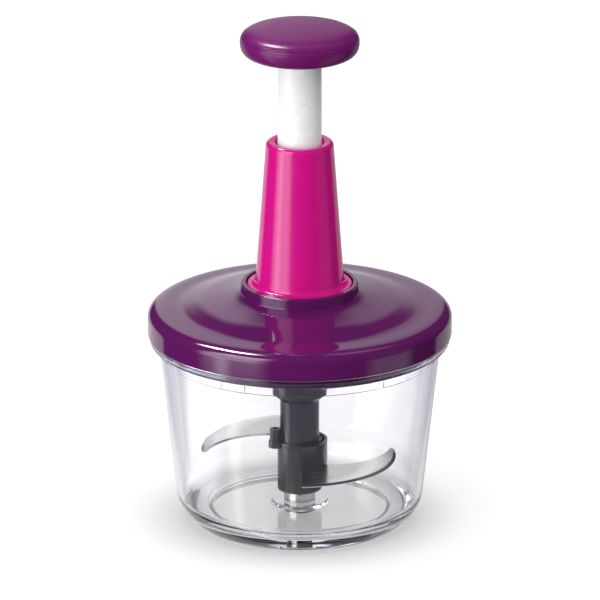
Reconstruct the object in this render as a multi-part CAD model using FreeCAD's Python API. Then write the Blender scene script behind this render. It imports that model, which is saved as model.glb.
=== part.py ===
import FreeCAD, Part
import math
import os

# Plunger food chopper. Millimetres, +Z up, origin at the centre of the bowl's foot.
# The front of the chopper faces -Y.

# Bowl
bowl_height = 102.0
foot_radius = 53.8
foot_ring_width = 7.0
foot_recess = 4.5
base_radius = 64.75
base_corner = 14.7
base_fullness = 0.36
bowl_rim_radius = 74.4
bowl_wall = 3.0
floor_thickness = 4.5
floor_corner = 7.0
floor_step = 0.6
floor_step_width = 6.0
flange_width = 4.3
flange_thickness = 4.8
band_depth = 10.5
band_step = 0.5
lug_count = 5
lug_arc = 11.0
lug_first_angle = -119.0
lug_height = 5.4
lug_depth = 1.2
lug_root = 0.6
boss_ring_radius = 14.5
boss_ring_height = 1.0
pin_boss_radius = 8.5
pin_boss_height = 3.0

# Steel pivot that the blade unit turns on
pin_radius = 4.0
pin_collar_radius = 8.25
pin_collar_height = 5.6
pin_length = 48.0
pin_root = 5.5
pin_tip_chamfer = 1.2

# Blade unit
thrust_gap = 0.3
shaft_radius = 10.3
shaft_top = 90.0
shaft_end_play = 2.0
cup_radius = 14.3
cup_height = 21.0
cup_flare = 3.6
socket_depth = 15.0
socket_flats = 20.0
socket_lead = 2.2
socket_lead_depth = 4.0
socket_seat_width = 1.2
bush_radius = 6.0
bush_length = 9.0
bush_flange_radius = 7.6
bush_flange_thickness = 1.5
shaft_fit = 0.08
bush_drop = 1.0
hub_radius = 11.65
hub_length = 27.4
hub_flange_gap = 0.4
block_radius = 14.6
block_start = -85.0
block_sweep = 170.0
block_pocket_depth = 4.0
block_pocket_start = -42.0
block_pocket_sweep = 112.0
block_lip = 1.3
arm_thickness = 3.6
arm_eye_radius = 3.6
post_radius = 2.9
post_height = 6.6
post_hollow_radius = 1.5
post_hollow_depth = 3.5
post_circle_radius = 13.1
post_angle = 193.0
rib_width = 2.2
rib_height = 0.6
stake_angle = 110.0
stake_radius = 1.5
stake_head_radius = 2.3
stake_head_height = 1.0
stake_fit = 0.1
slot_pin_radius = 1.0

# Blades
blade_thickness = 1.2
lower_blade_level = 29.0
blade_bevel_width = 1.5
blade_bevel_flat = 0.25
blade_outer_radius = 51.2
blade_outer_shift = 14.5
blade_inner_radius = 34.0
blade_inner_shift_x = 15.3
blade_inner_shift_y = 29.5
blade_root_offset = 1.2
blade_tip_y = 21.5
blade_fit = 0.05
blade_slot_overturn = 1.0
eye_start = -84.0
lower_eye_sweep = 150.0
upper_eye_sweep = 92.0

# Lid
lid_overhang = 0.95
lid_crest_height = 14.4
lid_shoulder_height = 5.5
lid_shoulder_width = 12.0
lid_groove_width = 1.9
lid_groove_depth = 0.8
lid_wall = 2.3
lid_skirt_wall = 3.2
lid_rim_wall = 3.5
lid_rise = 8.2
collar_radius = 30.8
collar_height = 6.2
collar_wall = 2.8
collar_root = 3.0
collar_groove = 0.45
plug_fit = 1.2
plug_wall = 2.2
plug_depth = 5.5
ledge_inner_radius = 21.6
ledge_thickness = 2.3

# Drive tower
tower_top = 207.4
tower_top_radius = 17.6
tower_base_radius = 23.3
tower_wall = 2.4
tower_lip_round = 2.2
tower_flange_height = 7.0
tower_flange_drop = 0.4
tower_flange_fillet = 3.0
tower_bore_gap = 0.8
tower_lip_depth = 3.4
tower_lip_drop = 0.6
tower_lip_inner_round = 1.2
tower_throat = 1.5
guide_wall = 3.1
guide_length = 10.0
guide_fit = 0.1

# Plunger and knob
stroke = 42.0
tube_radius = 11.5
tube_wall = 1.9
tube_web = 5.0
stop_flange_width = 2.5
stop_flange_thickness = 4.0
stop_washer_thickness = 1.6
nut_length = 12.0
nut_flange_thickness = 2.5
nut_end_play = 1.5
nut_fit = 0.35
knob_gap = 46.7
knob_radius = 31.5
knob_base_height = 9.9
knob_base_round = 8.0
knob_cap_height = 3.2
knob_cap_round = 9.3
knob_dome = 0.6
knob_dome_flat = 12.0
knob_dome_reach = 9.5
knob_fullness = 0.77
knob_seam = 0.3
knob_socket_depth = 3.6
knob_pocket_radius = 21.0
knob_pocket_depth = 4.0
knob_cap_hollow = 1.4
knob_spigot_wall = 2.0
knob_spigot_height = 2.5
knob_screw_radius = 2.0
knob_screw_length = 6.6
knob_screw_head_radius = 4.0
knob_screw_head_height = 2.4

# Spindle, spring and clutch
spindle_width = 13.0
spindle_depth = 5.0
spindle_lead = 30.0
spindle_free_end = 3.4
spindle_journal_radius = 6.9
spindle_tail_radius = 4.0
spindle_tail_length = 14.0
seat_gap = 1.2
seat_thickness = 2.0
seat_spigot_height = 3.0
spring_wire_radius = 0.6
spring_gap = 1.8
spring_turns = 10
spring_end_gap = 0.3
twist_sections = 10
housing_top = 112.5
housing_radius = 19.5
housing_wall = 2.6
housing_flange_radius = 28.0
cover_radius = 34.0
cover_thickness = 2.2
cover_level = 97.8
coupling_flats = 19.4
coupling_length = 20.5
coupling_lead_width = 1.0
coupling_lead_depth = 3.0
coupling_relief = 1.5
coupling_bore_relief = 0.5
coupling_journal_radius = 11.5
clutch_radius = 15.0
clutch_wall = 2.4
clutch_height = 7.4
clutch_teeth = 12
clutch_tooth_depth = 1.5
pawl_gap = 0.35
pawl_thickness = 0.9
pawl_tip_angle = 1.5
pawl_bend_angle = 34.0
pawl_root_start = 40.0
pawl_root_end = 58.0
rotor_radius = 8.0
spindle_flange_radius = 11.0
spindle_flange_thickness = 1.3
housing_roof_thickness = 2.0
housing_flange_thickness = 2.0
running_gap = 0.3

# Fasteners
screw_count = 3
screw_circle_radius = 24.6
screw_radius = 1.25
screw_head_radius = 2.6
screw_head_height = 1.8
screw_bite = 5.0
screw_clearance = 0.15
tower_screw_angle = 0.0
cover_screw_angle = 60.0
lid_post_radius = 3.2
lid_post_root = 0.5
slot_length_share = 1.4
slot_width_share = 0.3
slot_depth_share = 0.5

# Rounded edges, and how far a cutting shape runs past what it cuts
fine_round = 0.4
edge_round = 0.8
soft_round = 1.5
full_round = 2.0
ellipse_fullness = 0.5523
cut_margin = 1.0

# Levels that follow from the sizes above
floor_top = foot_recess + floor_thickness
pin_collar_bottom = floor_top + boss_ring_height
pin_collar_top = pin_collar_bottom + pin_collar_height
hub_bottom = pin_collar_top + thrust_gap
hub_top = hub_bottom + hub_length
lower_blade_top = lower_blade_level + blade_thickness
cup_bottom = shaft_top - cup_height
rim_inner_radius = bowl_rim_radius - bowl_wall
flange_radius = bowl_rim_radius + flange_width
foot_inner_radius = foot_radius - foot_ring_width
plug_radius = rim_inner_radius - plug_fit
lid_edge = bowl_height
lid_radius = flange_radius + lid_overhang
lid_crest = lid_edge + lid_crest_height
lid_crest_radius = lid_radius - lid_shoulder_width
lid_valley = lid_crest - lid_groove_depth
lid_valley_radius = lid_crest_radius - lid_groove_width
collar_foot = lid_valley + lid_rise
collar_top = collar_foot + collar_height
tower_seat = collar_top - tower_flange_height
tower_flange_radius = collar_radius - collar_wall - collar_groove
guide_top = tower_top - tower_lip_depth
guide_bottom = guide_top - guide_length
stop_top = guide_bottom - stop_washer_thickness
knob_bottom = tower_top + knob_gap
knob_middle = knob_bottom + knob_base_height
knob_pocket_floor = knob_middle - knob_pocket_depth
knob_cap_edge = knob_middle + knob_cap_height
knob_top = knob_cap_edge + knob_dome
tube_top = knob_bottom + knob_socket_depth
tube_bore_radius = tube_radius - tube_wall
tower_bore_radius = tube_radius + tower_bore_gap
guide_radius = tube_radius + guide_wall
stop_flange_radius = tube_radius + stop_flange_width
seat_radius = tube_bore_radius - seat_gap
spring_mean_radius = tube_bore_radius - spring_gap - spring_wire_radius
pin_bore_radius = pin_radius + shaft_fit
tube_bore_top = tube_top - tube_web
nut_bottom = housing_top + stroke + nut_end_play
nut_top = nut_bottom + nut_flange_thickness + nut_length
spindle_top = nut_top + spindle_free_end
seat_top = spindle_top + seat_thickness
cover_top = cover_level + cover_thickness
clutch_bottom = cover_top + running_gap
clutch_top = clutch_bottom + clutch_height
spindle_flange_bottom = clutch_top + running_gap
spindle_flange_top = spindle_flange_bottom + spindle_flange_thickness
housing_flange_top = cover_top + housing_flange_thickness
housing_roof = housing_top - housing_roof_thickness
twist_start = housing_top + running_gap
ledge_under = tower_seat - ledge_thickness
plug_bottom = lid_edge - plug_depth

V = FreeCAD.Vector
ORIGIN = V(0, 0, 0)
UP = V(0, 0, 1)


def rounded(spot, back, ahead, radius):
    """Arc across a corner, with its start and end."""
    half = back.getAngle(ahead) / 2
    reach = radius / math.tan(half)
    inward = (back + ahead).normalize()
    middle = spot + inward * (radius / math.sin(half) - radius)
    start, end = spot + back * reach, spot + ahead * reach
    return start, Part.Arc(start, middle, end).toShape(), end


def swept(spot, back, ahead, reach_back, reach_ahead, fullness):
    """Unequal soft curve across a corner; a higher fullness runs closer to the corner."""
    start, end = spot + back * reach_back, spot + ahead * reach_ahead
    curve = Part.BezierCurve()
    curve.setPoles([start, start + (spot - start) * fullness,
                    end + (spot - end) * fullness, end])
    return start, curve.toShape(), end


def outline(corners):
    """Closed wire in the XZ plane through corners.

    A corner is (radius, height), with a rounding as third value for an arc, or with
    a reach back, a reach ahead and a fullness for a soft curve.
    """
    spots = [V(corner[0], 0, corner[1]) for corner in corners]
    turns = []
    for index, spot in enumerate(spots):
        back = (spots[index - 1] - spot).normalize()
        ahead = (spots[(index + 1) % len(spots)] - spot).normalize()
        if len(corners[index]) == 2:
            turns.append((spot, None, spot))
        elif len(corners[index]) == 3:
            turns.append(rounded(spot, back, ahead, corners[index][2]))
        else:
            turns.append(swept(spot, back, ahead, *corners[index][2:]))
    edges = []
    for index, (start, curve, end) in enumerate(turns):
        if curve:
            edges.append(curve)
        following = turns[(index + 1) % len(turns)][0]
        if end.distanceToPoint(following) > 1e-6:
            edges.append(Part.makeLine(end, following))
    return Part.Wire(edges)


def turned(corners):
    """Solid of revolution about Z."""
    return Part.Face(outline(corners)).revolve(ORIGIN, UP, 360)


def disc(radius, bottom, top, x=0, y=0):
    return Part.makeCylinder(radius, top - bottom, V(x, y, bottom))


def ring(outer, inner, bottom, top):
    return disc(outer, bottom, top).cut(disc(inner, bottom, top))


def polar(radius, degrees, z=0):
    angle = math.radians(degrees)
    return V(radius * math.cos(angle), radius * math.sin(angle), z)


def spun(shape, degrees):
    """Copy of a shape turned about Z."""
    copy = shape.copy()
    copy.rotate(ORIGIN, UP, degrees)
    return copy


def sector(radius, bottom, top, start, sweep):
    """Wedge of a cylinder about Z, from a start angle in degrees."""
    wedge = Part.makeCylinder(radius, top - bottom, V(0, 0, bottom), UP, sweep)
    wedge.rotate(ORIGIN, UP, start)
    return wedge


def hexagon(flats, bottom, top):
    corners = [polar(flats / math.sqrt(3), 60 * side, bottom) for side in range(6)]
    face = Part.Face(Part.makePolygon(corners + corners[:1]))
    return face.extrude(V(0, 0, top - bottom))


def group(shapes):
    return Part.makeCompound(shapes)


def pan_screw(shank_radius, head_radius, head_height, head_level, tip_level, place):
    """Screw pointing up from its head, or down where the tip lies below the head."""
    way = 1 if tip_level > head_level else -1
    head_far = head_level - way * head_height
    shank = disc(shank_radius, min(head_level, tip_level), max(head_level, tip_level))
    head = disc(head_radius, min(head_level, head_far), max(head_level, head_far))
    length = head_radius * slot_length_share
    width = head_radius * slot_width_share
    depth = head_height * slot_depth_share
    slot = Part.makeBox(length, width, depth, V(-length / 2, -width / 2, head_far))
    if way < 0:
        slot.translate(V(0, 0, -depth))
    screw = shank.fuse(head).cut(slot)
    screw.translate(place)
    return screw


def wall_radius(z):
    """Outer radius of the bowl's tapered wall at a height."""
    share = (z - base_corner) / (bowl_height - base_corner)
    return base_radius + share * (bowl_rim_radius - base_radius)


def bowl():
    band = bowl_height - band_depth
    flange_under = bowl_height - flange_thickness
    floor_edge = wall_radius(floor_top) - bowl_wall
    step_radius = floor_edge - floor_corner - floor_step_width
    body = turned([
        (0, foot_recess),
        (foot_inner_radius, foot_recess, soft_round),
        (foot_inner_radius, 0, edge_round),
        (wall_radius(0), 0, wall_radius(0) - foot_radius, base_corner, base_fullness),
        (wall_radius(band), band),
        (wall_radius(band) + band_step, band + band_step),
        (wall_radius(flange_under) + band_step, flange_under, soft_round),
        (flange_radius, flange_under, full_round),
        (flange_radius, bowl_height, edge_round),
        (rim_inner_radius, bowl_height, edge_round),
        (floor_edge, floor_top, floor_corner),
        (step_radius + floor_step, floor_top),
        (step_radius, floor_top - floor_step),
        (boss_ring_radius + floor_step, floor_top - floor_step),
        (boss_ring_radius, floor_top + boss_ring_height, fine_round),
        (0, floor_top + boss_ring_height),
    ])
    pin_seat = pin_collar_bottom - pin_root
    boss = disc(pin_boss_radius, foot_recess - pin_boss_height, foot_recess)
    body = body.fuse(boss).cut(disc(pin_radius, pin_seat, pin_collar_bottom))
    lug_top = plug_bottom - running_gap
    lug_outer = wall_radius(lug_top) - bowl_wall + lug_root
    lug = ring(lug_outer, lug_outer - lug_depth - lug_root, lug_top - lug_height, lug_top)
    lug = lug.common(sector(flange_radius, 0, bowl_height, -lug_arc / 2, lug_arc))
    for index in range(lug_count):
        body = body.fuse(spun(lug, lug_first_angle + index * 360 / lug_count))
    return body.removeSplitter()


def pivot_pin():
    tip = pin_collar_top + pin_length
    return turned([
        (0, pin_collar_bottom - pin_root),
        (pin_radius, pin_collar_bottom - pin_root),
        (pin_radius, pin_collar_bottom),
        (pin_collar_radius, pin_collar_bottom),
        (pin_collar_radius, pin_collar_top, edge_round),
        (pin_radius, pin_collar_top),
        (pin_radius, tip, pin_tip_chamfer),
        (0, tip),
    ])


def blade_shaft():
    bore_top = pin_collar_top + pin_length + shaft_end_play
    socket_seat = shaft_top - socket_lead_depth
    shell = turned([
        (bush_radius, hub_bottom + bush_flange_thickness),
        (shaft_radius, hub_bottom + bush_flange_thickness),
        (shaft_radius, cup_bottom - cup_flare),
        (cup_radius, cup_bottom, edge_round),
        (cup_radius, shaft_top, edge_round),
        (socket_flats / 2 + socket_lead, shaft_top, fine_round),
        (socket_flats / 2 - socket_seat_width, socket_seat),
        (0, socket_seat),
        (0, bore_top),
        (bush_radius, bore_top),
    ])
    socket = hexagon(socket_flats, shaft_top - socket_depth, shaft_top)
    return shell.cut(socket).removeSplitter()


def bush(bottom, top):
    """Plain bearing that the pivot pin runs in."""
    return turned([
        (pin_bore_radius, bottom),
        (bush_radius, bottom),
        (bush_radius, top, fine_round),
        (pin_bore_radius, top, fine_round),
    ])


def lower_bush():
    flange_top = hub_bottom + bush_flange_thickness
    flange = ring(bush_flange_radius, pin_bore_radius, hub_bottom, flange_top)
    return flange.fuse(bush(flange_top, flange_top + bush_length)).removeSplitter()


def upper_bush():
    top = pin_collar_top + pin_length - bush_drop
    return bush(top - bush_length, top)


def arm(bottom, radius, degrees):
    """Flat ear that reaches out from the sleeve to carry a post."""
    place = polar(post_circle_radius, degrees)
    eye = disc(radius, bottom, bottom + arm_thickness, place.x, place.y)
    web = Part.makeBox(post_circle_radius, 2 * radius, arm_thickness)
    web.translate(V(0, -radius, bottom))
    web.rotate(ORIGIN, UP, degrees)
    return eye.fuse(web)


def hub_sleeve():
    flange_bore = bush_flange_radius + hub_flange_gap
    flange_top = hub_bottom + bush_flange_thickness
    bore_top = hub_top + post_height + cut_margin
    bore = turned([
        (0, hub_bottom - cut_margin),
        (flange_bore, hub_bottom - cut_margin),
        (flange_bore, flange_top),
        (shaft_radius, flange_top),
        (shaft_radius, bore_top),
        (0, bore_top),
    ])
    sleeve = turned([
        (0, hub_bottom),
        (hub_radius, hub_bottom, fine_round),
        (hub_radius, hub_top, fine_round),
        (0, hub_top),
    ])
    rib = Part.makeBox(rib_width, hub_radius + rib_height, hub_length)
    rib.translate(V(blade_root_offset - rib_width, -hub_radius - rib_height, hub_bottom))
    return sleeve.fuse(rib), bore


def hub_block():
    """Thick side of the hub, with a pocket in its top, that lies over the lower blade."""
    block = sector(block_radius, lower_blade_top, hub_top, block_start, block_sweep)
    pocket = ring(block_radius - block_lip, shaft_radius, hub_top - block_pocket_depth, hub_top)
    opening = sector(block_radius, 0, hub_top, block_pocket_start, block_pocket_sweep)
    return block.cut(pocket.common(opening))


def hub_post():
    """Hollow post beside the shaft that the upper blade leans on."""
    place = polar(post_circle_radius, post_angle)
    top = hub_top + post_height
    post = disc(post_radius, hub_top - arm_thickness, top, place.x, place.y)
    hollow = disc(post_hollow_radius, top - post_hollow_depth, top, place.x, place.y)
    return post.cut(hollow)


def hub_stake():
    """Post behind the shaft, its head closed over the upper blade."""
    place = polar(post_circle_radius, stake_angle)
    plate_top = hub_top + blade_thickness
    stem = disc(stake_radius, hub_top - arm_thickness, plate_top, place.x, place.y)
    head = disc(stake_head_radius, plate_top, plate_top + stake_head_height, place.x, place.y)
    return stem.fuse(head)


def slot_pin(radius):
    place = polar((shaft_radius + block_radius) / 2, 0)
    return disc(radius, lower_blade_level, lower_blade_top, place.x, place.y)


def blade_hub():
    sleeve, bore = hub_sleeve()
    slot = sector(block_radius + cut_margin, lower_blade_level, lower_blade_top,
                  block_start - blade_slot_overturn, block_sweep + 2 * blade_slot_overturn)
    ear_bottom = hub_top - arm_thickness
    hub = sleeve.fuse(hub_block()).cut(slot).fuse(slot_pin(slot_pin_radius))
    hub = hub.fuse(arm(ear_bottom, arm_eye_radius, post_angle))
    hub = hub.fuse(arm(ear_bottom, stake_head_radius, stake_angle))
    hub = hub.fuse(hub_post()).fuse(hub_stake())
    return hub.cut(bore).removeSplitter()


def blade_outline(level):
    """Crescent seen from above: inside one circle, outside another, cut at root and tip."""
    outer = Part.makeCircle(blade_outer_radius, V(0, blade_outer_shift, level))
    inner = Part.makeCircle(blade_inner_radius,
                            V(blade_inner_shift_x, blade_inner_shift_y, level))
    reach = 2 * blade_outer_radius
    window = Part.makePlane(reach, reach, V(blade_root_offset, blade_tip_y - reach, level))
    crescent = Part.Face(Part.Wire(outer)).cut(Part.Face(Part.Wire(inner)))
    return crescent.common(window)


def blade(level, eye_sweep):
    """Flat crescent blade with an eye round the shaft and a ground outer edge."""
    top = level + blade_thickness
    bore = shaft_radius + blade_fit
    eye = ring(block_radius, bore, level, top)
    eye = eye.common(sector(block_radius, level, top, eye_start, eye_sweep))
    plate = blade_outline(level).extrude(V(0, 0, blade_thickness)).fuse(eye)
    edge_level = level + blade_bevel_flat
    centre = V(0, blade_outer_shift, edge_level)
    height = blade_thickness - blade_bevel_flat
    ground = Part.makeCylinder(blade_outer_radius + cut_margin, height, centre)
    ground = ground.cut(Part.makeCone(
        blade_outer_radius, blade_outer_radius - blade_bevel_width, height, centre))
    return plate.cut(disc(bore, level, top)).cut(ground).removeSplitter()


def lower_blade():
    return blade(lower_blade_level, lower_eye_sweep).cut(slot_pin(slot_pin_radius + stake_fit))


def upper_blade():
    plate = spun(blade(hub_top, upper_eye_sweep), 180)
    top = hub_top + blade_thickness
    post = polar(post_circle_radius, post_angle)
    stake = polar(post_circle_radius, stake_angle)
    plate = plate.cut(disc(post_radius + stake_fit, hub_top, top, post.x, post.y))
    return plate.cut(disc(stake_radius + stake_fit, hub_top, top, stake.x, stake.y))


def screw_places(first_angle):
    return [polar(screw_circle_radius, first_angle + index * 360 / screw_count)
            for index in range(screw_count)]


def holes(radius, bottom, top, first_angle):
    return group([disc(radius, bottom, top, place.x, place.y)
                  for place in screw_places(first_angle)])


def lid():
    collar_inner = collar_radius - collar_wall
    skirt_inner = lid_radius - lid_skirt_wall
    under = lid_valley - lid_rim_wall
    plug_inner = plug_radius - plug_wall
    shell = turned([
        (skirt_inner, lid_edge, fine_round),
        (lid_radius, lid_edge, fine_round),
        (lid_radius, lid_crest, lid_shoulder_height, lid_shoulder_width, ellipse_fullness),
        (lid_crest_radius, lid_crest, soft_round),
        (lid_valley_radius, lid_valley, full_round),
        (collar_radius, collar_foot, edge_round),
        (collar_radius, collar_top, edge_round),
        (collar_inner, collar_top, fine_round),
        (collar_inner, tower_seat),
        (ledge_inner_radius, tower_seat),
        (ledge_inner_radius, ledge_under),
        (collar_radius + collar_root, ledge_under),
        (lid_valley_radius, lid_valley - lid_wall),
        (plug_inner, under),
        (plug_inner, plug_bottom, fine_round),
        (plug_radius, plug_bottom, fine_round),
        (plug_radius, under),
        (skirt_inner, under, full_round),
    ])
    post_top = ledge_under + lid_post_root
    for place in screw_places(cover_screw_angle):
        shell = shell.fuse(disc(lid_post_radius, housing_flange_top, post_top, place.x, place.y))
    shell = shell.cut(holes(screw_radius + screw_clearance, ledge_under, tower_seat,
                            tower_screw_angle))
    post_holes = holes(screw_radius, cover_top, housing_flange_top + screw_bite, cover_screw_angle)
    return shell.cut(post_holes).removeSplitter()


def tower_radius(z):
    share = (z - collar_top) / (tower_top - collar_top)
    return tower_base_radius + share * (tower_top_radius - tower_base_radius)


def drive_tower():
    flange_top = collar_top - tower_flange_drop
    shell = turned([
        (tower_radius(tower_seat) - tower_wall, tower_seat),
        (tower_flange_radius, tower_seat, fine_round),
        (tower_flange_radius, flange_top, edge_round),
        (tower_radius(flange_top), flange_top, tower_flange_fillet),
        (tower_radius(tower_top), tower_top, tower_lip_round),
        (tower_bore_radius, tower_top - tower_lip_drop, tower_lip_inner_round),
        (tower_bore_radius, guide_top),
        (guide_radius, guide_top),
        (guide_radius, guide_bottom),
        (tower_radius(guide_bottom) - tower_wall, guide_bottom - tower_throat),
    ])
    return shell.cut(holes(screw_radius, tower_seat, tower_seat + screw_bite, tower_screw_angle))


def tube_guide():
    return turned([
        (tube_radius + guide_fit, guide_bottom, fine_round),
        (guide_radius, guide_bottom),
        (guide_radius, guide_top),
        (tube_radius + guide_fit, guide_top, fine_round),
    ])


def tower_screws():
    return group([
        pan_screw(screw_radius, screw_head_radius, screw_head_height,
                  ledge_under, tower_seat + screw_bite, place)
        for place in screw_places(tower_screw_angle)
    ])


def clutch_housing():
    shell = turned([
        (housing_radius - housing_wall, cover_top),
        (housing_flange_radius, cover_top),
        (housing_flange_radius, housing_flange_top, fine_round),
        (housing_radius, housing_flange_top, edge_round),
        (housing_radius, housing_top, edge_round),
        (spindle_journal_radius + guide_fit, housing_top),
        (spindle_journal_radius + guide_fit, housing_roof),
        (housing_radius - housing_wall, housing_roof),
    ])
    return shell.cut(holes(screw_radius + screw_clearance, cover_top, housing_flange_top,
                           cover_screw_angle))


def cover_plate():
    plate = turned([
        (coupling_journal_radius + guide_fit, cover_level, fine_round),
        (cover_radius, cover_level, edge_round),
        (cover_radius, cover_top, fine_round),
        (coupling_journal_radius + guide_fit, cover_top),
    ])
    return plate.cut(holes(screw_radius + screw_clearance, cover_level, cover_top,
                           cover_screw_angle))


def cover_screws():
    return group([
        pan_screw(screw_radius, screw_head_radius, screw_head_height,
                  cover_level, housing_flange_top + screw_bite, place)
        for place in screw_places(cover_screw_angle)
    ])


def plunger_tube():
    stop_bottom = stop_top - stop_flange_thickness
    return turned([
        (tube_bore_radius, nut_bottom + nut_flange_thickness),
        (tube_radius, nut_bottom + nut_flange_thickness),
        (tube_radius, stop_bottom),
        (stop_flange_radius, stop_bottom, edge_round),
        (stop_flange_radius, stop_top),
        (tube_radius, stop_top),
        (tube_radius, tube_top, fine_round),
        (knob_screw_radius, tube_top),
        (knob_screw_radius, tube_bore_top),
        (tube_bore_radius, tube_bore_top, edge_round),
    ])


def stop_washer():
    return ring(stop_flange_radius, tube_radius, stop_top, guide_bottom)


def slot_section(width, depth, z):
    """Round-ended slot across the axis, turned by the helix at its height."""
    radius = depth / 2
    half = width / 2 - radius
    right = Part.Arc(V(half, -radius, 0), V(half + radius, 0, 0), V(half, radius, 0))
    left = Part.Arc(V(-half, radius, 0), V(-half - radius, 0, 0), V(-half, -radius, 0))
    wire = Part.Wire([
        right.toShape(),
        Part.makeLine(V(half, radius, 0), V(-half, radius, 0)),
        left.toShape(),
        Part.makeLine(V(-half, -radius, 0), V(half, -radius, 0)),
    ])
    wire.rotate(ORIGIN, UP, -360 * (z - twist_start) / spindle_lead)
    wire.translate(V(0, 0, z))
    return wire


def twisted_bar(width, depth, bottom, top):
    """Left-handed twisted bar, lofted through evenly spaced sections."""
    count = math.ceil(abs(top - bottom) / spindle_lead * twist_sections) + 1
    levels = [bottom + (top - bottom) * index / count for index in range(count + 1)]
    return Part.makeLoft([slot_section(width, depth, z) for z in levels], True, False)


def drive_nut():
    body = turned([
        (0, nut_bottom),
        (tube_radius, nut_bottom, fine_round),
        (tube_radius, nut_bottom + nut_flange_thickness),
        (tube_bore_radius, nut_bottom + nut_flange_thickness),
        (tube_bore_radius, nut_top, fine_round),
        (0, nut_top),
    ])
    slot = twisted_bar(spindle_width + 2 * nut_fit, spindle_depth + 2 * nut_fit,
                       nut_bottom - cut_margin, nut_top + cut_margin)
    return body.cut(slot)


def knob_base():
    rise = knob_base_height - knob_seam
    body = turned([
        (0, knob_bottom),
        (knob_radius, knob_bottom, knob_base_round, rise, knob_fullness),
        (knob_radius, knob_middle - knob_seam),
        (knob_radius - knob_seam, knob_middle),
        (knob_pocket_radius, knob_middle),
        (knob_pocket_radius, knob_pocket_floor, edge_round),
        (0, knob_pocket_floor),
    ])
    body = body.cut(disc(tube_radius, knob_bottom, tube_top))
    return body.cut(disc(knob_screw_radius + screw_clearance, tube_top, knob_pocket_floor))


def knob_cap():
    spigot_radius = knob_pocket_radius - running_gap
    spigot_bottom = knob_middle - knob_spigot_height
    ceiling = knob_middle + knob_cap_hollow
    rise = knob_cap_height - knob_seam
    return turned([
        (0, ceiling),
        (spigot_radius - knob_spigot_wall, ceiling),
        (spigot_radius - knob_spigot_wall, spigot_bottom),
        (spigot_radius, spigot_bottom, fine_round),
        (spigot_radius, knob_middle),
        (knob_radius - knob_seam, knob_middle),
        (knob_radius, knob_middle + knob_seam),
        (knob_radius, knob_cap_edge, rise, knob_cap_round, knob_fullness),
        (knob_dome_flat, knob_top, knob_dome_reach, knob_dome_reach, ellipse_fullness),
        (0, knob_top),
    ])


def knob_screw():
    return pan_screw(knob_screw_radius, knob_screw_head_radius, knob_screw_head_height,
                     knob_pocket_floor, knob_pocket_floor - knob_screw_length, ORIGIN)


def spindle():
    tail_bottom = clutch_bottom + clutch_wall - spindle_tail_length
    stem = turned([
        (0, tail_bottom),
        (spindle_tail_radius, tail_bottom, edge_round),
        (spindle_tail_radius, spindle_flange_bottom),
        (spindle_flange_radius, spindle_flange_bottom),
        (spindle_flange_radius, spindle_flange_top),
        (spindle_journal_radius, spindle_flange_top),
        (spindle_journal_radius, twist_start),
        (0, twist_start),
    ])
    bar = twisted_bar(spindle_width, spindle_depth, twist_start, spindle_top)
    return stem.fuse(bar)


def thrust_washer():
    return ring(spindle_flange_radius, spindle_journal_radius + guide_fit,
                spindle_flange_top, housing_roof)


def spring_seat():
    """Cap on the spindle's end that centres the return spring."""
    spigot_radius = spring_mean_radius - 2 * spring_wire_radius
    return turned([
        (0, spindle_top),
        (seat_radius, spindle_top),
        (seat_radius, seat_top, fine_round),
        (spigot_radius, seat_top),
        (spigot_radius, seat_top + seat_spigot_height, edge_round),
        (0, seat_top + seat_spigot_height),
    ])


def arc_from(start, tangent, end):
    """Arc that leaves its start along a tangent and passes through its end."""
    chord = end - start
    along = chord * (1 / chord.Length)
    side = (tangent - along * tangent.dot(along)).normalize()
    half_angle = tangent.getAngle(chord) / 2
    middle = (start + end) * 0.5 + side * (chord.Length / 2 * math.tan(half_angle))
    return Part.Arc(start, middle, end).toShape()


def biarc(start, start_tangent, end, end_tangent):
    """Two arcs that join two points with given directions."""
    gap = end - start
    total = start_tangent + end_tangent
    spread = 2 * (1 - start_tangent.dot(end_tangent))
    lean = gap.dot(total)
    reach = (-lean + math.sqrt(lean ** 2 + spread * gap.dot(gap))) / spread
    joint = (start + end) * 0.5 + (start_tangent - end_tangent) * (reach / 2)
    first = arc_from(start, start_tangent, joint)
    joint_tangent = (end - end_tangent * reach - start - start_tangent * reach).normalize()
    return [first, arc_from(joint, joint_tangent, end)]


def spring_levels():
    """Heights of the spring's centre line at each half turn, with close end turns."""
    bottom = seat_top + spring_wire_radius
    top = tube_bore_top - spring_wire_radius
    close_rise = spring_wire_radius + spring_end_gap
    halves = 2 * spring_turns
    open_rise = (top - bottom - 4 * close_rise) / (halves - 4)
    levels = [bottom]
    for index in range(halves):
        close = index < 2 or index >= halves - 2
        levels.append(levels[-1] + (close_rise if close else open_rise))
    return levels


def return_spring():
    levels = spring_levels()
    last = len(levels) - 1
    points = [polar(spring_mean_radius, 180 * index, z) for index, z in enumerate(levels)]
    directions = []
    for index in range(len(levels)):
        low, high = max(index - 1, 0), min(index + 1, last)
        rise = (levels[high] - levels[low]) / ((high - low) * math.pi * spring_mean_radius)
        flat = polar(1, 180 * index + 90)
        directions.append(V(flat.x, flat.y, rise).normalize())
    edges = []
    for index in range(last):
        edges += biarc(points[index], directions[index],
                       points[index + 1], directions[index + 1])
    path = Part.Wire(edges)
    profile = Part.Wire(Part.makeCircle(spring_wire_radius, points[0], directions[0]))
    turn_gap = min(levels[i + 2] - levels[i] for i in range(last - 1)) - 2 * spring_wire_radius
    print("spring: least gap between turns", round(turn_gap, 2), "mm")
    return path.makePipeShell([profile], True, False)


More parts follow.
